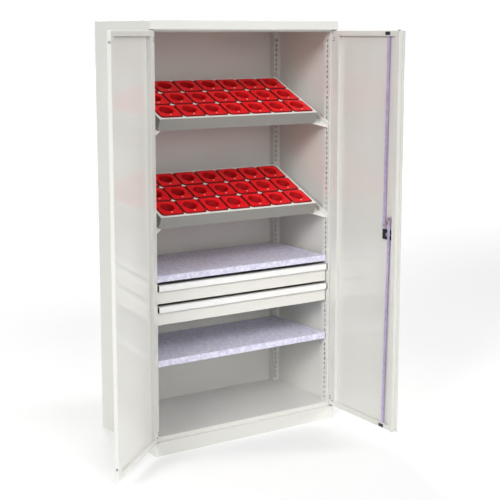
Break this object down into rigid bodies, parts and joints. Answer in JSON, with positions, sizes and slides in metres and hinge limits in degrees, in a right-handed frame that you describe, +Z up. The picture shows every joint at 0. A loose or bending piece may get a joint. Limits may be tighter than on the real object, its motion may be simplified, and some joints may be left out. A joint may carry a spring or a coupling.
{
  "type": "tool storage cabinet",
  "caption": "Tall two-door steel cabinet with sloping racks of red tool-holder inserts, pull-out drawers, shelves and a rod lock on the right door.",
  "frame": {"origin": "middle of the plinth's underside, at floor level", "axes": "+Z up, +Y to the back, doors at -Y, +X to the right seen from the front"},
  "size_m": [1.4277, 1.0551, 2],
  "materials": {
    "paint": "gloss light grey powder coat",
    "frame_paint": "satin light grey paint",
    "zinc": "spangled zinc plate",
    "bright_steel": "zinc-plated steel",
    "rod_steel": "lilac passivated zinc plate",
    "red_plastic": "moulded, semi-gloss",
    "black_plastic": "moulded, matte",
    "rubber": "matte",
    "handle_rail": "satin anodised",
    "brass": "yellow passivated"
  },
  "bodies": {
    "cabinet": {"plinth": "paint", "floor_panel": "paint", "left_side_panel": "paint", "right_side_panel": "paint", "back_panel": "paint", "top_cap": "paint", "front_left_post": "paint", "front_right_post": "paint", "rear_left_post": "paint", "rear_right_post": "paint", "hinge_bushes": "black_plastic", "upper_tool_frame": "frame_paint", "lower_tool_frame": "frame_paint", "frame_arms": "frame_paint", "upper_inserts_row_1": "red_plastic", "upper_inserts_row_2": "red_plastic", "upper_inserts_row_3": "red_plastic", "lower_inserts_row_1": "red_plastic", "lower_inserts_row_2": "red_plastic", "lower_inserts_row_3": "red_plastic", "insert_screws": "bright_steel", "upper_shelf": "zinc", "lower_shelf": "zinc", "shelf_clips": "bright_steel", "upper_outer_runners": "bright_steel", "lower_outer_runners": "bright_steel"},
    "left_door": {"left_door_panel": "paint", "left_hinge_pins": "bright_steel", "left_hinge_blocks": "bright_steel", "left_hinge_screws": "bright_steel", "left_door_buffers": "rubber"},
    "right_door": {"right_door_panel": "paint", "right_hinge_pins": "bright_steel", "right_hinge_blocks": "bright_steel", "right_hinge_screws": "bright_steel", "right_door_buffers": "rubber", "lock_case": "black_plastic", "rod_guides": "black_plastic", "handle_escutcheon": "black_plastic"},
    "lock_lever": {"lock_handle": "black_plastic", "lock_cam": "brass", "cam_screw": "bright_steel"},
    "upper_rod": {"upper_lock_rod": "rod_steel"},
    "lower_rod": {"lower_lock_rod": "rod_steel"},
    "key_plug": {"lock_plug": "bright_steel"},
    "upper_drawer": {"upper_drawer_front": "paint", "upper_drawer_handle": "handle_rail", "upper_handle_caps": "black_plastic", "upper_drawer_box": "paint", "upper_inner_runners": "bright_steel"},
    "upper_slides": {"upper_middle_runners": "bright_steel"},
    "lower_drawer": {"lower_drawer_front": "paint", "lower_drawer_handle": "handle_rail", "lower_handle_caps": "black_plastic", "lower_drawer_box": "paint", "lower_inner_runners": "bright_steel"},
    "lower_slides": {"lower_middle_runners": "bright_steel"}
  },
  "joints": [
    {"name": "left_door_hinge", "type": "hinge", "parent": "cabinet", "child": "left_door", "pos_m": [-0.5105, -0.262, 0], "axis": [0, 0, -1], "range_deg": [-139, 41]},
    {"name": "right_door_hinge", "type": "hinge", "parent": "cabinet", "child": "right_door", "pos_m": [0.5105, -0.262, 0], "axis": [0, 0, 1], "range_deg": [-88, 92]},
    {"name": "upper_drawer_slide", "type": "slide", "parent": "cabinet", "child": "upper_drawer", "axis": [0, -1, 0], "range_m": [0, 0.4]},
    {"name": "upper_middle_slide", "type": "slide", "parent": "cabinet", "child": "upper_slides", "axis": [0, -1, 0], "range_m": [0, 0.2]},
    {"name": "lower_drawer_slide", "type": "slide", "parent": "cabinet", "child": "lower_drawer", "axis": [0, -1, 0], "range_m": [0, 0.4]},
    {"name": "lower_middle_slide", "type": "slide", "parent": "cabinet", "child": "lower_slides", "axis": [0, -1, 0], "range_m": [0, 0.2]},
    {"name": "lock_handle_turn", "type": "hinge", "parent": "right_door", "child": "lock_lever", "pos_m": [0.50508, -0.68957, 1.071], "axis": [0.9994, -0.0349, 0], "range_deg": [0, 90]},
    {"name": "upper_rod_slide", "type": "slide", "parent": "right_door", "child": "upper_rod", "axis": [-0.0005, -0.0136, 0.9999], "range_m": [0, 0.03192]},
    {"name": "lower_rod_slide", "type": "slide", "parent": "right_door", "child": "lower_rod", "axis": [0.0009, 0.0258, -0.9997], "range_m": [0, 0.03192]},
    {"name": "lock_plug_turn", "type": "hinge", "parent": "right_door", "child": "key_plug", "pos_m": [0.50508, -0.68957, 1.011], "axis": [0.9994, -0.0349, 0], "range_deg": [0, 90]}
  ],
  "couplings": [
    {"joint": "upper_middle_slide", "follows": "upper_drawer_slide", "ratio": 0.5},
    {"joint": "lower_middle_slide", "follows": "lower_drawer_slide", "ratio": 0.5},
    {"joint": "upper_rod_slide", "follows": "lock_handle_turn", "m_per_rad": 0.020257},
    {"joint": "lower_rod_slide", "follows": "lock_handle_turn", "m_per_rad": 0.020257}
  ]
}
